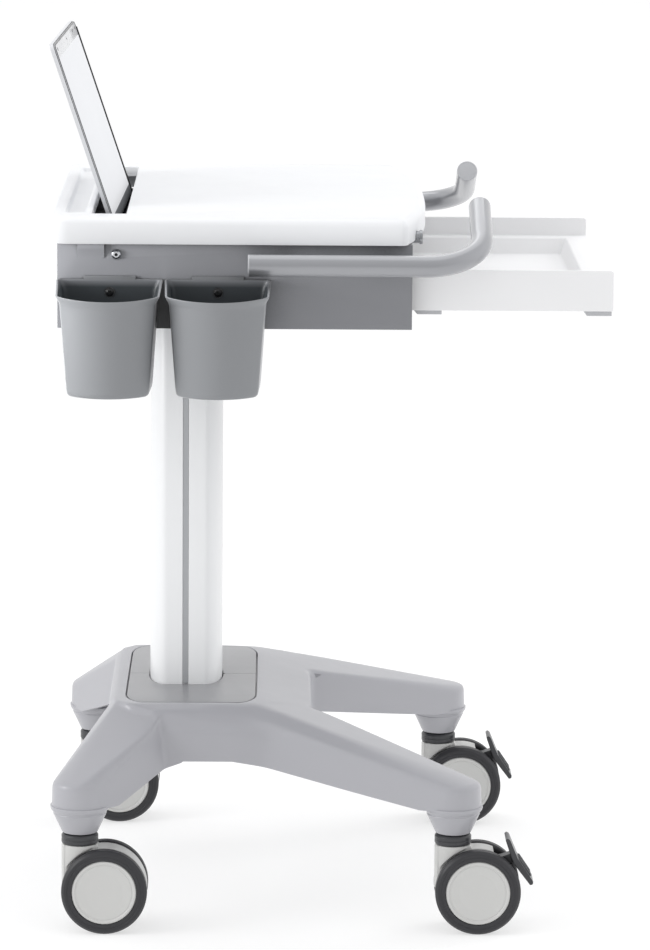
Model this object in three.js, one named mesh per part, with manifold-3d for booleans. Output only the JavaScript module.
// Wheeled laptop cart: a four-legged cast base on twin-wheel casters, a gas-spring lift
// column, a sheet-metal laptop box with a lift-off worktop, an open laptop, a pull-out
// keyboard tray, two side handles and two storage bins.
// Millimetres. +Z is up, +X points towards the user (the tray pulls out along +X) and
// +Y is the user's right. Dimensions are laid out from the column's centre; each finished
// piece is moved so that the origin is on the floor under the centre of the overall box.
import * as THREE from "three";
import { ConvexGeometry } from "three/addons/geometries/ConvexGeometry.js";
import { mergeVertices } from "three/addons/utils/BufferGeometryUtils.js";
import Module from "manifold-3d";

const wasm = await Module();
wasm.setup();

// ---------------------------------------------------------------- shared dimensions
// Names ending in X, Y or Z, and pairs in brackets, are coordinates or [from, to] spans.
const CENTRE = { x: 168.481, y: -26.75 };  // centre of the overall box
const GAP = 0.3;                           // clearance between neighbouring pieces
const FIT = 0.4;                           // clearance around the column's sections
const OVERCUT = 5;                         // how far a cutter runs past the face it opens
const SIDES = [["left", -1], ["right", 1]];
const SIGNS = [1, -1];

const HUB = { top: 246, bottom: 184 };
const COLUMN = { halfX: 43.6, halfY: 61, radiusX: 21.5, radiusY: 55, wall: 5, bottom: 196.3, top: 700 };
const LIFT_TOP = 702.8;                    // top of the inner column

const CASTERS = {                          // swivel axes, x and y
  rear_left: [-118.5, -269.5], rear_right: [-118.5, 269.5],
  front_left: [316.5, -264.4], front_right: [316.5, 264.4],
};
const STEM = { radius: 6, bottom: 84, top: 165 };

const BOX = { rear: -143, front: 262, halfY: 279, bottom: 709, top: 806.4, wall: 2 };
const BOX_FLOOR = { bottom: 716, top: 718.4 };
const BOX_SHELF = { bottom: 776.4, top: 779.2 };
const BIN_X = { bin_rear: -83, bin_front: 40.4 };
const BIN_SCREW = { z: 751, holeRadius: 2.6 };
const LOCK = { y: -231, z: 810, rear: 250, front: 274.6 };

// ---------------------------------------------------------------- finishes
const WHITE = "#f3f4f6";
const DARK = "#47474a";
const STEEL = "#b9bcc0";
const SILVER = "#b5b7ba";
const FINISHES = {
  castBase: { color: "#b4b4b9", roughness: 0.42, metalness: 0.15 },
  hubCover: { color: "#a5a5a8", roughness: 0.5, metalness: 0.1 },
  columnPaint: { color: WHITE, roughness: 0.35, metalness: 0.05 },
  columnStrip: { color: "#8f9194", roughness: 0.55, metalness: 0 },
  innerColumn: { color: "#d9dadd", roughness: 0.4, metalness: 0.2 },
  gasCylinder: { color: DARK, roughness: 0.4, metalness: 0.3 },
  darkMatt: { color: DARK, roughness: 0.6, metalness: 0 },
  darkPlastic: { color: DARK, roughness: 0.5, metalness: 0 },
  darkStem: { color: DARK, roughness: 0.45, metalness: 0 },
  darkScrew: { color: DARK, roughness: 0.4, metalness: 0.6 },
  brightSteel: { color: STEEL, roughness: 0.25, metalness: 0.9 },
  lockPlug: { color: STEEL, roughness: 0.3, metalness: 0.9 },
  lidScrew: { color: STEEL, roughness: 0.15, metalness: 1 },
  slideSteel: { color: STEEL, roughness: 0.35, metalness: 0.8 },
  fork: { color: "#dcdcda", roughness: 0.5, metalness: 0 },
  wheelDisc: { color: "#cfcfcd", roughness: 0.45, metalness: 0 },
  boxPaint: { color: "#8c8d91", roughness: 0.4, metalness: 0.35 },
  bracket: { color: "#6f7175", roughness: 0.5, metalness: 0.4 },
  handleTube: { color: "#b9babe", roughness: 0.32, metalness: 0.25 },
  bin: { color: "#8b8d90", roughness: 0.5, metalness: 0 },
  worktop: { color: WHITE, roughness: 0.35, metalness: 0 },
  laptopBase: { color: SILVER, roughness: 0.35, metalness: 0.6 },
  laptopLid: { color: SILVER, roughness: 0.35, metalness: 0.7 },
  screen: { color: "#e8eaee", roughness: 0.15, metalness: 0 },
  tray: { color: "#f1f2f3", roughness: 0.38, metalness: 0 },
  trayBar: { color: "#c9cacc", roughness: 0.5, metalness: 0 },
};

// ---------------------------------------------------------------- solids and meshes
// closed geometry to a manifold solid, faces turned outwards
function toSolid(geometry) {
  geometry.deleteAttribute("normal");
  geometry.deleteAttribute("uv");
  const merged = mergeVertices(geometry, 1e-4);
  const position = merged.getAttribute("position");
  const corners = merged.getIndex().array;
  const point = (i) => new THREE.Vector3().fromBufferAttribute(position, i);
  const triangles = [];
  let volume = 0;
  for (let i = 0; i < corners.length; i += 3) {
    const [a, b, c] = corners.slice(i, i + 3);
    if (a === b || b === c || a === c) continue;
    volume += point(a).dot(point(b).cross(point(c)));
    triangles.push([a, b, c]);
  }
  if (volume < 0) triangles.forEach((triangle) => triangle.reverse());
  return new wasm.Manifold(new wasm.Mesh({
    numProp: 3,
    vertProperties: new Float32Array(position.array),
    triVerts: new Uint32Array(triangles.flat()),
  }));
}

function indexedSolid(vertices, index) {
  const geometry = new THREE.BufferGeometry();
  geometry.setAttribute("position", new THREE.BufferAttribute(new Float32Array(vertices), 3));
  geometry.setIndex(index);
  return toSolid(geometry);
}

const group = new THREE.Group();
const shift = (x, y, z) => new THREE.Matrix4().makeTranslation(x, y, z);

function addPiece(name, solid, finish, placement = new THREE.Matrix4()) {
  const { vertProperties, triVerts } = solid.getMesh();
  const geometry = new THREE.BufferGeometry();
  geometry.setAttribute("position", new THREE.BufferAttribute(new Float32Array(vertProperties), 3));
  geometry.setIndex(Array.from(triVerts));
  geometry.applyMatrix4(placement);
  geometry.translate(-CENTRE.x, -CENTRE.y, 0);
  geometry.computeVertexNormals();
  const mesh = new THREE.Mesh(geometry, new THREE.MeshStandardMaterial(finish));
  mesh.name = name;
  group.add(mesh);
}

// ---------------------------------------------------------------- shape helpers
const centred = (half) => [-half, half];
const toVectors = (points) => points.map(([x, y]) => new THREE.Vector2(x, y));
const hull = (points) => toSolid(new ConvexGeometry(points.map((p) => new THREE.Vector3(...p))));

// a span may run either way, so that it can be mirrored
function box([x0, x1], [y0, y1], [z0, z1]) {
  const geometry = new THREE.BoxGeometry(Math.abs(x1 - x0), Math.abs(y1 - y0), Math.abs(z1 - z0));
  return toSolid(geometry.translate((x0 + x1) / 2, (y0 + y1) / 2, (z0 + z1) / 2));
}

const extrude = (points, depth) =>
  new THREE.ExtrudeGeometry(new THREE.Shape(toVectors(points)), { depth, bevelEnabled: false });

// (x, y) outline along Z
const prismZ = (points, [z0, z1]) => toSolid(extrude(points, z1 - z0).translate(0, 0, z0));

// (x, z) outline along Y; the span may run either way
function prismY(points, span) {
  const end = Math.max(...span);
  const geometry = extrude(points, end - Math.min(...span));
  return toSolid(geometry.rotateX(Math.PI / 2).translate(0, end, 0));
}

// (y, z) outline along X
function prismX(points, [x0, x1]) {
  const turn = new THREE.Matrix4().makeBasis(
    new THREE.Vector3(0, 1, 0), new THREE.Vector3(0, 0, 1), new THREE.Vector3(1, 0, 0));
  return toSolid(extrude(points, x1 - x0).applyMatrix4(turn).translate(x0, 0, 0));
}

// profiles of (radius, distance along the axis), turned about an axis through a place
const lathe = (profile, segments) => new THREE.LatheGeometry(toVectors(profile), segments);
const turnZ = (profile, [x, y], segments) =>
  toSolid(lathe(profile, segments).rotateX(Math.PI / 2).translate(x, y, 0));
const turnY = (profile, [x, z], segments) => toSolid(lathe(profile, segments).translate(x, 0, z));
const turnX = (profile, [y, z], segments) =>
  toSolid(lathe(profile, segments).rotateZ(-Math.PI / 2).translate(0, y, z));
const rod = (radius, start, end) => [[0, start], [radius, start], [radius, end], [0, end]];
const mirrorProfile = (profile, side) => profile.map(([r, h]) => [r, side * h]);

function quarterArc(x, y, radiusX, radiusY, start, steps) {
  return Array.from({ length: steps + 1 }, (_, i) => {
    const angle = start + Math.PI / 2 * i / steps;
    return [x + radiusX * Math.cos(angle), y + radiusY * Math.sin(angle)];
  });
}

// rounded rectangle with elliptical corners
function roundRect([x0, x1], [y0, y1], [radiusX, radiusY], steps) {
  const corner = (x, y, quarter) =>
    quarterArc(x, y, radiusX, radiusY, quarter * Math.PI / 2, steps);
  return [
    ...corner(x1 - radiusX, y1 - radiusY, 0), ...corner(x0 + radiusX, y1 - radiusY, 1),
    ...corner(x0 + radiusX, y0 + radiusY, 2), ...corner(x1 - radiusX, y0 + radiusY, 3),
  ];
}

const atHeight = (points, z) => points.map(([x, y]) => [x, y, z]);

// rings of equal length stacked into one closed solid
function loft(rings) {
  const count = rings[0].length;
  const index = [];
  for (let k = 0; k + 1 < rings.length; k++) {
    for (let i = 0; i < count; i++) {
      const a = k * count + i;
      const b = k * count + (i + 1) % count;
      index.push(a, b, b + count, a, b + count, a + count);
    }
  }
  const last = rings.length - 1;
  for (const [a, b, c] of THREE.ShapeUtils.triangulateShape(toVectors(rings[0]), [])) {
    index.push(c, b, a);
  }
  for (const triangle of THREE.ShapeUtils.triangulateShape(toVectors(rings[last]), [])) {
    index.push(...triangle.map((corner) => corner + last * count));
  }
  return indexedSolid(rings.flat(2), index);
}

// the column's section moved inwards by an inset
const columnOutline = (inset) => roundRect(
  centred(COLUMN.halfX - inset), centred(COLUMN.halfY - inset),
  [COLUMN.radiusX - inset, COLUMN.radiusY - inset], 6);

// screw hole through a side wall of the box
const wallHole = (side, x, z, radius) => turnY(rod(radius, side * 270, side * 290), [x, z], 12);

// ---------------------------------------------------------------- base
const LEG_WALL = 6;
const HOLLOW_DROP = 60;                    // how far a leg's hollow runs down past its underside
const LEG_END = { radius: 32, flareRadius: 34.5, top: 175, bottom: 146 };
// Leg corners on the right side. Columns: x, y, z, then for the hollow inside the leg
// the shift of x in mm and of y in wall thicknesses.
const LEGS = [
  {
    caster: CASTERS.front_right,
    endTop: LEG_END.top,
    upper: [
      [150, 100, 229, 8, 1], [138, 216, 215.5, 0, -1], [106, 198, 225, 0, -1],
      [86, 166, HUB.top, 0, -1], [86, 90, HUB.top, 0, 1], [40, 168, HUB.top, 0, -1],
    ],
    lower: [
      [150, 100, 178, 8, 1], [108, 209, 183.5, 0, -1],
      [80, 100, HUB.bottom, 0, 1], [60, 190, HUB.bottom, 0, -1],
    ],
  },
  {
    caster: CASTERS.rear_right,
    endTop: LEG_END.top + 1,
    upper: [
      [-82, 114, 244, 0, 1], [-34.5, 214, 224.2, -4, -1],
      [-79, 150, HUB.top, 0, -1], [-20, 168, HUB.top, 0, -1],
    ],
    lower: [
      [-88, 114, 186, 6, 1], [-31, 213, 187.5, -4, -1],
      [-40, 130, HUB.bottom, 0, 1], [-10, 190, HUB.bottom, 0, -1],
    ],
  },
];
// hub corners on the right side: x, y, z
const HUB_OUTSIDE = [
  [-82, 150, HUB.top], [-70, 167, HUB.top], [76, 167, HUB.top], [90, 150, HUB.top],
  [152, 98, 228], [152, 98, 180], [-90, 118, 240], [-92, 118, 186],
  [-35, 184, 240], [105, 182, 236], [-35, 199, 220], [105, 199, 218],
  [-30, 204, HUB.bottom], [100, 204, HUB.bottom],
];
const HUB_HOLLOW = [
  [-78, 112, 236], [140, 90, 222], [-60, 158, 238], [74, 158, 238], [-30, 190, 218],
  [98, 190, 216], [-82, 110, 120], [142, 90, 120], [-30, 196, 120], [98, 196, 120],
];
const SOCKET = { halfX: 56, halfY: 76, top: 240 };
const RIB = { halfThickness: 3, front: 90, top: 238 };
const CONE = { bottom: 116, radius: 21, plugRadius: 26, plugTop: LEG_END.top - 6 };
const COVER = { x: [-68.5, 84.5], halfY: 161, radii: [22, 46], thickness: 5.5, gap: 1.4 };
const COVER_SPLIT = 0.35;                  // half the gap between the two covers
const COVER_COLUMN_GAP = 0.9;

const mirroredHull = (points) =>
  hull(SIGNS.flatMap((side) => points.map(([x, y, z]) => [x, y * side, z])));

const circle = (x, y, radius, z, count = 20) => Array.from({ length: count }, (_, i) => {
  const angle = 2 * Math.PI * i / count;
  return [x + radius * Math.cos(angle), y + radius * Math.sin(angle), z];
});

function legHull({ caster: [x, y], endTop, upper, lower }, side, hollow) {
  const inset = hollow ? LEG_WALL : 0;
  const drop = hollow ? HOLLOW_DROP : 0;
  const corners = (table, lowering) => table.map(([cx, cy, cz, shiftX, shiftY]) =>
    [cx + (hollow ? shiftX : 0), (cy + shiftY * inset) * side, cz - lowering]);
  return hull([
    ...corners(upper, inset),
    ...corners(lower, drop),
    ...circle(x, y * side, LEG_END.radius - 2 - inset, endTop - inset),
    ...circle(x, y * side, LEG_END.radius - inset, endTop - 3 - inset),
    ...circle(x, y * side, LEG_END.flareRadius - inset, LEG_END.bottom - drop),
  ]);
}

function hubAndLegs(hubPoints, hollow) {
  let solid = mirroredHull(hubPoints);
  for (const side of SIGNS) {
    for (const leg of LEGS) solid = solid.add(legHull(leg, side, hollow));
  }
  return solid;
}

const coverOutline = (grow) => roundRect(
  [COVER.x[0] - grow, COVER.x[1] + grow], centred(COVER.halfY + grow),
  COVER.radii.map((radius) => radius + grow), 7);

function baseShell() {
  let shell = hubAndLegs(HUB_OUTSIDE, false).subtract(hubAndLegs(HUB_HOLLOW, true));
  shell = shell.add(box(
    centred(SOCKET.halfX), centred(SOCKET.halfY), [HUB.bottom + 1, SOCKET.top]));
  for (const side of SIGNS) {
    const middle = SOCKET.halfY * side;
    shell = shell.add(box([-SOCKET.halfX, RIB.front],
      [middle - RIB.halfThickness, middle + RIB.halfThickness], [HUB.bottom + 4, RIB.top]));
  }
  const cone = [
    [0, CONE.bottom], [CONE.radius, CONE.bottom], [LEG_END.radius, 140],
    [LEG_END.flareRadius, LEG_END.bottom], [LEG_END.flareRadius, LEG_END.bottom + 2],
    [CONE.plugRadius, LEG_END.bottom + 2], [CONE.plugRadius, CONE.plugTop], [0, CONE.plugTop],
  ];
  const stemHole = rod(STEM.radius + 0.4, CONE.bottom - OVERCUT, STEM.top + 1);
  for (const axis of Object.values(CASTERS)) {
    shell = shell.add(turnZ(cone, axis, 20)).subtract(turnZ(stemHole, axis, 16));
  }
  const cutTop = HUB.top + OVERCUT;
  return shell
    .subtract(prismZ(coverOutline(COVER.gap), [HUB.top - COVER.thickness - 0.4, cutTop]))
    .subtract(prismZ(columnOutline(-FIT), [COLUMN.bottom - GAP, cutTop]));
}

function hubCover(side) {
  return prismZ(coverOutline(0), [HUB.top - COVER.thickness, HUB.top])
    .subtract(prismZ(columnOutline(-COVER_COLUMN_GAP), [200, 300]))
    .intersect(box(centred(200), [side * COVER_SPLIT, side * 300], [200, 300]));
}

addPiece("base_shell", baseShell(), FINISHES.castBase);
for (const [name, side] of SIDES) addPiece(`hub_cover_${name}`, hubCover(side), FINISHES.hubCover);

// ---------------------------------------------------------------- column
const GROOVE = { halfWidth: 3.5, depth: 2.6 };
const GUIDE = { bottom: 655, innerInset: 8.8 };
const INNER_COLUMN = { bottom: 262, inset: GUIDE.innerInset + FIT, wall: 3 };
const SPRING_CYLINDER = [                  // radius, z
  [0, COLUMN.bottom + 0.2], [14, COLUMN.bottom + 0.2], [14, 560], [8, 560], [8, 212], [0, 212],
];
const SPRING_ROD = [                       // radius, z; the wide end is the piston
  [0, 224], [7.6, 224], [7.6, 236], [5, 236], [5, LIFT_TOP - 0.4], [0, LIFT_TOP - 0.4],
];

function columnTube(outerInset, innerInset, [bottom, top]) {
  return prismZ(columnOutline(outerInset), [bottom, top])
    .subtract(prismZ(columnOutline(innerInset), [bottom - OVERCUT, top + OVERCUT]));
}

function outerColumn() {
  let tube = columnTube(0, COLUMN.wall, [COLUMN.bottom, COLUMN.top]);
  for (const side of SIGNS) {
    tube = tube.subtract(box(centred(GROOVE.halfWidth),
      [side * (COLUMN.halfY - GROOVE.depth), side * (COLUMN.halfY + OVERCUT)],
      [COLUMN.bottom - OVERCUT, COLUMN.top + OVERCUT]));
  }
  return tube;
}

// strip filling the groove on one side of the column
const columnStrip = (side) => box(centred(GROOVE.halfWidth - GAP),
  [side * (COLUMN.halfY - GROOVE.depth + GAP), side * (COLUMN.halfY - 0.4)],
  [HUB.top + 0.5, COLUMN.top - 1]);

const columnGuide = () =>
  columnTube(COLUMN.wall + FIT, GUIDE.innerInset, [GUIDE.bottom, COLUMN.top - 1]);

const innerColumn = () => columnTube(INNER_COLUMN.inset, INNER_COLUMN.inset + INNER_COLUMN.wall,
  [INNER_COLUMN.bottom, LIFT_TOP]);

addPiece("column_outer", outerColumn(), FINISHES.columnPaint);
for (const [name, side] of SIDES) {
  addPiece(`column_strip_${name}`, columnStrip(side), FINISHES.columnStrip);
}
addPiece("column_guide", columnGuide(), FINISHES.darkMatt);
addPiece("column_inner", innerColumn(), FINISHES.innerColumn);
addPiece("gas_spring_cylinder", turnZ(SPRING_CYLINDER, [0, 0], 20), FINISHES.gasCylinder);
addPiece("gas_spring_rod", turnZ(SPRING_ROD, [0, 0], 16), FINISHES.brightSteel);

// ---------------------------------------------------------------- casters
// Drawn with the swivel axis on the Z axis; the axle lies in front of it.
const WHEEL_RADIUS = 50;
const AXLE = [29, WHEEL_RADIUS];           // x, z
const COLLAR_BOTTOM = 102.6;
const FORK_TOP = COLLAR_BOTTOM - GAP;
const FENDER = { radius: 49.3, halfWidth: 13.6, fromDegrees: 99, sweepDegrees: 104, steps: 14 };
const HOUSING = { radius: 21.5, bottom: 50 };
const WHEEL_SPACE = { radius: 51.2, inner: 14.4, outer: 40 };
const AXLE_ROD = { radius: 6, halfLength: 25.5 };
const FRONT_NOTCH = [                      // radius, degrees about the axle
  [30, 70], [60, 67], [60, 45], [60, 25], [60, 10], [30, 10],
];
const STEM_PROFILE = [                     // radius, z
  [0, STEM.bottom], [STEM.radius, STEM.bottom], [STEM.radius, COLLAR_BOTTOM],
  [19.5, COLLAR_BOTTOM], [21.5, 104.8], [21.5, 112], [20, 114.5], [16.5, 114.5],
  [16.5, 115.6], [STEM.radius, 115.6], [STEM.radius, STEM.top], [0, STEM.top],
];
const TYRE_PROFILE = [                     // radius, distance out from the caster's middle
  [38, 15.6], [47, 15.3], [49.4, 18.4], [WHEEL_RADIUS, 24],
  [49.4, 29.6], [46.4, 32.7], [38, 33], [38, 15.6],
];
const DISC_PROFILE = [                     // as for the tyre
  [0, 26], [6.4, 26], [6.4, 16], [37.6, 16], [37.6, 31.4], [34.5, 32.6], [31, 31.4], [0, 30.6],
];
const PEDAL_PLATE = {
  halfWidth: 18,
  outline: [                               // x, z
    [60.6, 110.5], [63.4, 112.2], [66.2, 110.4], [75.5, 88],
    [93.6, 61], [93.4, 57.6], [90, 56.8], [70.2, 82.6],
  ],
};
const PEDAL_ARM = {
  halfWidth: 8,
  outline: [                               // x, z
    [49, 79], [54, 75.6], [60, 77.6], [72, 82], [71, 93], [57, 88.4], [50, 87.6],
  ],
};

function aroundAxle(radius, degrees) {
  const angle = degrees * Math.PI / 180;
  return [AXLE[0] + radius * Math.cos(angle), AXLE[1] + radius * Math.sin(angle)];
}

// swivel housing, centre fender and axle
function casterFork(front) {
  const fenderArc = Array.from({ length: FENDER.steps + 1 }, (_, i) =>
    aroundAxle(FENDER.radius, FENDER.fromDegrees - i * FENDER.sweepDegrees / FENDER.steps));
  const web = [
    [-19, 50], [-19, FORK_TOP], [20.5, FORK_TOP], ...fenderArc, [50, 36], [24, 34],
  ];
  let housing = turnZ(rod(HOUSING.radius, HOUSING.bottom, FORK_TOP), [0, 0], 24);
  for (const side of SIGNS) {
    const { radius, inner, outer } = WHEEL_SPACE;
    housing = housing.subtract(turnY(rod(radius, side * inner, side * outer), AXLE, 28));
  }
  let fork = prismY(web, centred(FENDER.halfWidth)).add(housing);
  if (front) {
    const notch = FRONT_NOTCH.map(([radius, degrees]) => aroundAxle(radius, degrees));
    fork = fork.subtract(prismY(notch, centred(30)));
  }
  return fork
    .subtract(turnZ(rod(STEM.radius + GAP, STEM.bottom - GAP, 110), [0, 0], 16))
    .add(turnY(rod(AXLE_ROD.radius, ...centred(AXLE_ROD.halfLength)), AXLE, 20));
}

const brakePedal = () => prismY(PEDAL_PLATE.outline, centred(PEDAL_PLATE.halfWidth))
  .add(prismY(PEDAL_ARM.outline, centred(PEDAL_ARM.halfWidth)));

for (const [key, [x, y]] of Object.entries(CASTERS)) {
  const front = key.startsWith("front");
  const place = shift(x, y, 0);
  addPiece(`caster_stem_${key}`, turnZ(STEM_PROFILE, [0, 0], 18), FINISHES.darkStem, place);
  addPiece(`caster_fork_${key}`, casterFork(front), FINISHES.fork, place);
  for (const [name, side] of SIDES) {
    const wheelPart = (profile) => turnY(mirrorProfile(profile, side), AXLE, 26);
    addPiece(`tyre_${key}_${name}`, wheelPart(TYRE_PROFILE), FINISHES.darkMatt, place);
    addPiece(`wheel_disc_${key}_${name}`, wheelPart(DISC_PROFILE), FINISHES.wheelDisc, place);
  }
  if (front) addPiece(`brake_pedal_${key}`, brakePedal(), FINISHES.darkPlastic, place);
}

// ---------------------------------------------------------------- laptop box
const POCKET = { x: [-119.8, -89.2], outward: 5, outerBottom: 799, innerBottom: 787 };
const LID_SCREW = { x: -75.7, z: 794, holeRadius: 3, shankRadius: 2.6 };
const LID_SCREW_HEAD = [                   // radius, distance out from the middle of the cart
  [0, BOX.halfY + GAP], [5.8, BOX.halfY + GAP], [5.2, 281.8], [3, 283.3],
  [1.9, 283.3], [1.9, 281.2], [0, 281.2],
];
const LEVER = {
  z: [710.6, 714.8],
  outline: [                               // x, y
    [188, 196], [196, 190], [248, 194], [252, 200], [248, 206], [196, 210], [188, 204],
  ],
};
const LOCK_BARREL = [                      // radius, x
  [4.4, LOCK.rear], [7, LOCK.rear], [7, 271], [8.2, 271],
  [8.2, LOCK.front], [4.4, LOCK.front], [4.4, LOCK.rear],
];
const LOCK_AXIS = [LOCK.y, LOCK.z];

function boxHousing() {
  const { rear, front, halfY, bottom, top, wall } = BOX;
  const insideY = centred(halfY - wall);
  let housing = box([rear, front], centred(halfY), [bottom, top])
    // under the floor
    .subtract(box([rear + wall, front - wall], insideY, [bottom - OVERCUT, BOX_FLOOR.bottom]))
    // tray space, open at the front
    .subtract(box([rear + wall, front + OVERCUT], insideY, [BOX_FLOOR.top, BOX_SHELF.bottom]))
    // laptop space, open at the top
    .subtract(box([rear + wall, front - 6], insideY, [BOX_SHELF.top, top + OVERCUT]));
  for (const side of SIGNS) {
    // pressed-out pocket under the worktop
    const innerY = side * (halfY - 1);
    const outerY = side * (halfY + POCKET.outward);
    housing = housing.add(hull(POCKET.x.flatMap((x) => [
      [x, innerY, top], [x, outerY, top],
      [x, outerY, POCKET.outerBottom], [x, innerY, POCKET.innerBottom],
    ])));
    housing = housing.subtract(wallHole(side, LID_SCREW.x, LID_SCREW.z, LID_SCREW.holeRadius));
  }
  for (const x of Object.values(BIN_X)) {
    housing = housing.subtract(wallHole(-1, x, BIN_SCREW.z, BIN_SCREW.holeRadius));
  }
  return housing.subtract(turnX(rod(7.4, 240, 270), LOCK_AXIS, 20));
}

function lidScrew(side) {
  const place = [LID_SCREW.x, LID_SCREW.z];
  const shank = rod(LID_SCREW.shankRadius, side * 279.6, side * 271);
  return turnY(mirrorProfile(LID_SCREW_HEAD, side), place, 20).add(turnY(shank, place, 12));
}

// plate on top of the column with a block reaching up to the box floor
const headBracket = () => box(centred(70), centred(92), [LIFT_TOP + GAP, BOX.bottom + 0.5])
  .add(box(centred(60), centred(70), [BOX.bottom, BOX_FLOOR.bottom - GAP]));

// plug with its tongue at the rear and key slot at the front
function lockPlug() {
  const { y, z, front } = LOCK;
  return turnX(rod(4, 244, front - 0.8), LOCK_AXIS, 20)
    .add(box([244, 248], [y - 3.2, y + 3.2], [z, z + 13.2]))
    .subtract(box([271, 280], [y - 0.5, y + 0.5], [z - 2.6, z + 2.6]));
}

addPiece("box_housing", boxHousing(), FINISHES.boxPaint);
for (const [name, side] of SIDES) addPiece(`lid_screw_${name}`, lidScrew(side), FINISHES.lidScrew);
addPiece("head_bracket", headBracket(), FINISHES.bracket);
addPiece("release_lever", prismZ(LEVER.outline, LEVER.z), FINISHES.darkPlastic);
addPiece("lock_barrel", turnX(LOCK_BARREL, LOCK_AXIS, 24), FINISHES.brightSteel);
addPiece("lock_plug", lockPlug(), FINISHES.lockPlug);

// ---------------------------------------------------------------- handles
// A straight tube beside the box, then a bend inwards and up in front of it.
const HANDLE = {
  radius: 12.5, y: 318, z: 787, rearX: 74.5,
  bendX: 276.5, bendRadius: 65, bendSteps: 8, endY: 187, endZ: 841,
};
const HANDLE_POST = { xs: [118, 232], z: 783, radius: 6 };

// circle swept along points that lie in one plane, with mitred joints
function sweepTube(points, planeNormal, radius, count) {
  const last = points.length - 1;
  const heading = (i) => points[i + 1].clone().sub(points[i]).normalize();
  const vertices = points.flatMap((point, i) => {
    const before = heading(Math.max(i - 1, 0));
    const after = heading(Math.min(i, last - 1));
    const tangent = before.clone().add(after).normalize();
    const across = tangent.clone().cross(planeNormal).normalize();
    const stretch = 1 / tangent.dot(before);
    return Array.from({ length: count }, (_, j) => {
      const angle = 2 * Math.PI * j / count;
      return point.clone()
        .addScaledVector(planeNormal, radius * Math.cos(angle))
        .addScaledVector(across, radius * Math.sin(angle) * stretch)
        .toArray();
    }).flat();
  });
  const index = [];
  for (let i = 0; i < last; i++) {
    for (let j = 0; j < count; j++) {
      const a = i * count + j;
      const b = i * count + (j + 1) % count;
      index.push(a, b, b + count, a, b + count, a + count);
    }
  }
  const end = last * count;
  for (let j = 1; j + 1 < count; j++) index.push(0, j + 1, j, end, end + j, end + j + 1);
  return indexedSolid(vertices, index);
}

function handle(side) {
  const { radius, y, z, rearX, bendX, bendRadius, bendSteps, endY, endZ } = HANDLE;
  const inward = new THREE.Vector3(0, -side * (y - endY), endZ - z).normalize();
  const bendStart = new THREE.Vector3(bendX, side * y, z);
  const points = [new THREE.Vector3(rearX, side * y, z), bendStart];
  for (let i = 1; i <= bendSteps; i++) {
    const angle = Math.PI / 2 * i / bendSteps;
    const point = bendStart.clone().addScaledVector(inward, bendRadius * (1 - Math.cos(angle)));
    point.x += bendRadius * Math.sin(angle);
    points.push(point);
  }
  points.push(new THREE.Vector3(bendX + bendRadius, side * endY, endZ));
  const planeNormal = new THREE.Vector3(1, 0, 0).cross(inward).normalize();
  let tube = sweepTube(points, planeNormal, radius, 16);
  const post = rod(HANDLE_POST.radius, side * (BOX.halfY + GAP), side * (y - 6));
  for (const x of HANDLE_POST.xs) tube = tube.add(turnY(post, [x, HANDLE_POST.z], 16));
  return tube;
}

for (const [name, side] of SIDES) addPiece(`handle_${name}`, handle(side), FINISHES.handleTube);

// ---------------------------------------------------------------- bins
// Drawn about x = 0. The flat side faces the left wall of the box; the bow faces -Y.
const BIN = {
  halfWidth: 60.8, depth: 104, baseHalfWidth: 49, baseDepth: 88, taper: 2.3,
  bottom: 640, backTop: 766.5, bowTop: 753, hookTop: 769.5, wall: 2.6, backY: -280,
};
const BIN_LIP = 2.5;                       // how far the rim stands out past the body
const BIN_BLANK_TOP = 790;                 // height of the body before its slanting top is cut
const BOW = { start: 0.76, angle: 0.86, steps: 10 };   // start is a share of the depth

function binOutline(halfWidth, depth, backY) {
  const corner = 7;
  const bowDepth = BOW.start * depth;
  const bowHalf = halfWidth - BIN.taper;
  const bowCos = Math.cos(BOW.angle);
  const bow = Array.from({ length: BOW.steps + 1 }, (_, i) => {
    const angle = BOW.angle * (2 * i / BOW.steps - 1);
    return [
      (bowHalf - 2) * Math.sin(angle) / Math.sin(BOW.angle),
      backY - bowDepth - (depth - bowDepth) * (Math.cos(angle) - bowCos) / (1 - bowCos),
    ];
  });
  return [
    [halfWidth, backY - corner], [halfWidth - 2, backY - 2], [halfWidth - corner, backY],
    [corner - halfWidth, backY], [2 - halfWidth, backY - 2], [-halfWidth, backY - corner],
    [-bowHalf - 1.2, backY - bowDepth + 8], ...bow, [bowHalf + 1.2, backY - bowDepth + 8],
  ];
}

// stations are half width, depth and z
const binLoft = (stations, backY) => loft(stations.map(([halfWidth, depth, z]) =>
  atHeight(binOutline(halfWidth, depth, backY), z)));

// (y, z) corners carried across the bin's whole width
const binSlab = (corners) => hull(corners.flatMap(([y, z]) => [[-90, y, z], [90, y, z]]));

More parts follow.
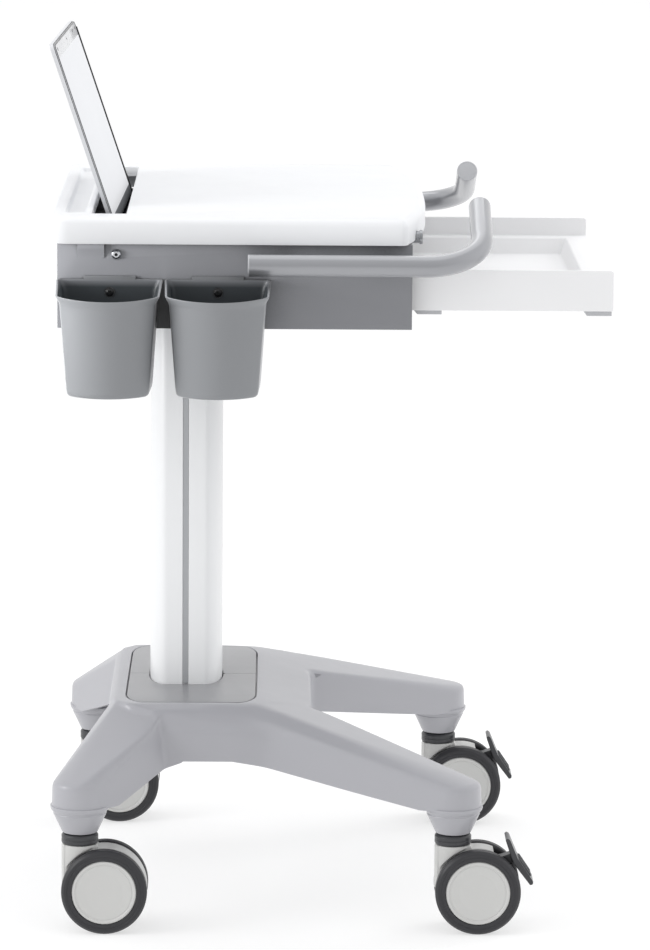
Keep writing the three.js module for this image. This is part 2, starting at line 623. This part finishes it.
function bin() {
  const { halfWidth, depth, baseHalfWidth, baseDepth, bottom, backTop, wall, backY } = BIN;
  const bodyHalf = halfWidth - BIN_LIP;
  const bodyDepth = depth - BIN_LIP;
  const slantY = backY - 130;
  const slantZ = BIN.bowTop - 3.4;
  const body = binLoft([
    [baseHalfWidth - 5, baseDepth - 5, bottom],
    [baseHalfWidth - 1.2, baseDepth - 1.2, bottom + 2],
    [baseHalfWidth, baseDepth, bottom + 6],
    [bodyHalf, bodyDepth, BIN_BLANK_TOP],
  ], backY);
  const rim = binLoft([
    [halfWidth - 2.9, depth - 2.9, 735],
    [halfWidth, depth, 738],
    [halfWidth, depth, BIN_BLANK_TOP],
  ], backY).intersect(binSlab([
    [backY + 1, backTop], [slantY, slantZ], [backY + 1, backTop - 5], [slantY, slantZ - 5],
  ]));
  const cavity = binLoft([
    [baseHalfWidth - wall - 2, baseDepth - 2 * wall - 2, bottom + 3],
    [baseHalfWidth - wall, baseDepth - 2 * wall, bottom + 8],
    [bodyHalf - wall, bodyDepth - 2 * wall, BIN_BLANK_TOP + 1],
  ], backY - wall);
  const aboveSlant = binSlab([
    [backY + 20, backTop + 2.6], [slantY, slantZ], [backY + 20, 900], [slantY, 900],
  ]);
  return body.add(rim).subtract(cavity).subtract(aboveSlant)
    .add(box(centred(30), [backY - wall, backY], [backTop - 8, BIN.hookTop]))
    .subtract(wallHole(-1, 0, BIN_SCREW.z, BIN_SCREW.holeRadius));
}

// head inside the bin, shank through the bin and the box wall
function binScrew() {
  const face = BIN.backY - BIN.wall;
  const place = [0, BIN_SCREW.z];
  const head = [
    [0, face - 3.1], [2, face - 3.1], [4.6, face - 1.8], [4.8, face - GAP], [0, face - GAP],
  ];
  return turnY(head, place, 18).add(turnY(rod(2.2, face - 1, -277.1), place, 12));
}

for (const [name, x] of Object.entries(BIN_X)) {
  addPiece(name, bin(), FINISHES.bin, shift(x, 0, 0));
  addPiece(`${name}_screw`, binScrew(), FINISHES.darkScrew, shift(x, 0, 0));
}

// ---------------------------------------------------------------- worktop
const TOP = {
  rear: -153.5, front: 283, halfY: 291.5, bottom: 807, top: 837,
  wall: 5, cavityTop: 825, edge: 5, rearRadius: 24, frontRadius: 11,
};
// the front edge falls back by depth * (share of half width) ^ power
const FRONT_BOW = { depth: 28, power: 2.6, shares: [0.96, 0.86, 0.72, 0.55, 0.36, 0.12] };
const SLOT = { x: [-105, -65.3], halfY: 247.8 };
const GROOVE_TOP = { x: [-136, -111], halfY: 238.7, floor: 831.5, radius: 5 };
const LOCK_RELIEF = { x: [240, 300], radius: 9.6, z: LOCK.z - 2.2 };
const LOCK_HOOK_X = [243.5, 248.5];

function worktopOutline(inset) {
  const halfY = TOP.halfY - inset;
  const rearRadius = TOP.rearRadius - inset;
  const frontRadius = TOP.frontRadius - inset;
  const arcX = TOP.rear + inset + rearRadius;
  const arcY = halfY - rearRadius;
  const frontX = (y) => TOP.front - inset
    - FRONT_BOW.depth * Math.pow(Math.abs(y) / TOP.halfY, FRONT_BOW.power);
  const bowY = FRONT_BOW.shares.map((share) => share * halfY);
  const cornerX = frontX(halfY) - frontRadius - 1;
  const cornerMidX = cornerX + frontRadius * 0.82;
  const cornerMidY = halfY - frontRadius * 0.28;
  return [
    ...[...bowY.map((y) => -y), ...bowY.toReversed()].map((y) => [frontX(y), y]),
    [cornerMidX, cornerMidY], [cornerX, halfY],
    ...quarterArc(arcX, arcY, rearRadius, rearRadius, Math.PI / 2, 4),
    ...quarterArc(arcX, -arcY, rearRadius, rearRadius, Math.PI, 4),
    [cornerX, -halfY], [cornerMidX, -cornerMidY],
  ];
}

function worktop() {
  const { bottom, top, wall, edge, cavityTop } = TOP;
  const ring = (inset, z) => atHeight(worktopOutline(inset), z);
  const { y } = LOCK;
  const relief = LOCK_RELIEF;
  return loft([
    ring(0, bottom), ring(0, top - edge), ring(edge * 0.3, top - edge * 0.3), ring(edge, top),
  ])
    .subtract(loft([ring(wall, bottom - OVERCUT), ring(wall, cavityTop)]))
    .subtract(box(SLOT.x, centred(SLOT.halfY), [bottom - OVERCUT, top + OVERCUT]))
    .subtract(prismZ(
      roundRect(GROOVE_TOP.x, centred(GROOVE_TOP.halfY),
        [GROOVE_TOP.radius, GROOVE_TOP.radius], 3),
      [GROOVE_TOP.floor, top + OVERCUT]))
    // relief over the lock
    .subtract(turnX(rod(relief.radius, ...relief.x), [y, relief.z], 24))
    .subtract(box(relief.x, [y - relief.radius, y + relief.radius], [790, relief.z]))
    // hook the lock tongue turns over
    .add(box(LOCK_HOOK_X, [y + 18, y + 22], [796, cavityTop + 1]))
    .add(box(LOCK_HOOK_X, [y + 7, y + 22], [796, 803]));
}

addPiece("worktop", worktop(), FINISHES.worktop);

// ---------------------------------------------------------------- laptop
const LAPTOP = { rear: -86, front: 156, halfY: 178, bottom: 779.6, top: 797.6, radius: 9 };
const HINGE = { x: -74, z: 799.5, radius: 4.2 };
const LID_TOP = 237;                       // above the hinge, with the lid upright
const SCREEN_MARGIN = 1.6;
const LID_TILT = 18.7 * Math.PI / 180;     // leaning back
const LAPTOP_YAW = -1.2 * Math.PI / 180;   // the laptop stands a little askew on its shelf

function laptopBase() {
  const { rear, front, halfY, bottom, top, radius } = LAPTOP;
  return prismZ(roundRect([rear, front], centred(halfY), [radius, radius], 3), [bottom, top])
    .subtract(box([rear - OVERCUT, -65.5], centred(halfY - 14), [792.6, 820]));
}

// lid parts are drawn upright with the hinge axis on the Y axis
const lidPanel = (x, z, halfY, radius) =>
  prismX(roundRect(centred(halfY), z, [radius, radius], 4), x);

const displayShell = () => lidPanel([-3.2, 1.2], [5.5, LID_TOP], LAPTOP.halfY, LAPTOP.radius)
  .add(turnY(rod(HINGE.radius, ...centred(LAPTOP.halfY - 16)), [0, 0], 16))
  .add(box([-3, 1], centred(LAPTOP.halfY - 18), [0, 8]));

const displayScreen = () =>
  lidPanel([1.5, 3.2], [8.5, LID_TOP - SCREEN_MARGIN], LAPTOP.halfY - SCREEN_MARGIN, 7);

const askew = shift(HINGE.x, 0, 0).multiply(new THREE.Matrix4().makeRotationZ(LAPTOP_YAW));
const basePlace = askew.clone().multiply(shift(-HINGE.x, 0, 0));
const lidPlace = askew.clone().multiply(shift(0, 0, HINGE.z))
  .multiply(new THREE.Matrix4().makeRotationY(-LID_TILT));
addPiece("laptop_base", laptopBase(), FINISHES.laptopBase, basePlace);
addPiece("display_shell", displayShell(), FINISHES.laptopLid, lidPlace);
addPiece("display_screen", displayScreen(), FINISHES.screen, lidPlace);

// ---------------------------------------------------------------- keyboard tray
const TRAY = { rear: 120, front: 493.5, halfY: 258.3, bottom: 728.6, top: 775.4, wall: 5, rim: 753 };
const TRAY_POCKET = { front: 468, halfY: 236, floor: 732.5, radius: 6 };
const BAR_TOP = TRAY.bottom - GAP;
const BAR_SPAN = centred(246);
const GRIP = [[459, BAR_TOP], [492.5, BAR_TOP], [492.5, 721.6], [464, 721.6]];      // x, z
const STOP_BAR = [[264, BAR_TOP], [297, BAR_TOP], [297, 722.4], [269, 722.4]];      // x, z
const CHANNEL = { x: [-130, 256], bottom: 736, top: 770, flange: 2.6 };

function keyboardTray() {
  const { rear, front, halfY, bottom, top, wall, rim } = TRAY;
  const pocket = TRAY_POCKET;
  let tray = box([rear, front], centred(halfY), [bottom, top])
    .subtract(box([rear + 14, front + OVERCUT], centred(halfY - wall), [rim, top + OVERCUT]))
    .subtract(prismZ(
      roundRect([rear + 22, pocket.front], centred(pocket.halfY),
        [pocket.radius, pocket.radius], 3),
      [pocket.floor, top + OVERCUT]));
  // the upper front corners of the side walls are broken
  const corner = [
    [front - 4, top + 1], [front - 4, top], [front - 1.2, top - 1.2],
    [front, top - 4], [front + 5, top - 4], [front + 5, top + 1],
  ];
  for (const side of SIGNS) {
    tray = tray.subtract(prismY(corner, [side * (halfY - wall - 1), side * (halfY + 1)]));
  }
  return tray;
}

function slideChannel(side) {
  const { x, bottom, top, flange } = CHANNEL;
  const flangeY = [side * 262, side * 275];
  return box(x, [side * 274.5, side * 276.7], [bottom, top])
    .add(box(x, flangeY, [bottom, bottom + flange]))
    .add(box(x, flangeY, [top - flange, top]));
}

const slideRunner = (side) => box([125, 252], [side * 258.6, side * 274], [739.4, 766.6]);

addPiece("keyboard_tray", keyboardTray(), FINISHES.tray);
addPiece("tray_grip", prismY(GRIP, BAR_SPAN), FINISHES.trayBar);
addPiece("tray_stop_bar", prismY(STOP_BAR, BAR_SPAN), FINISHES.trayBar);
for (const [name, side] of SIDES) {
  addPiece(`slide_channel_${name}`, slideChannel(side), FINISHES.slideSteel);
  addPiece(`slide_runner_${name}`, slideRunner(side), FINISHES.darkPlastic);
}

export default group;
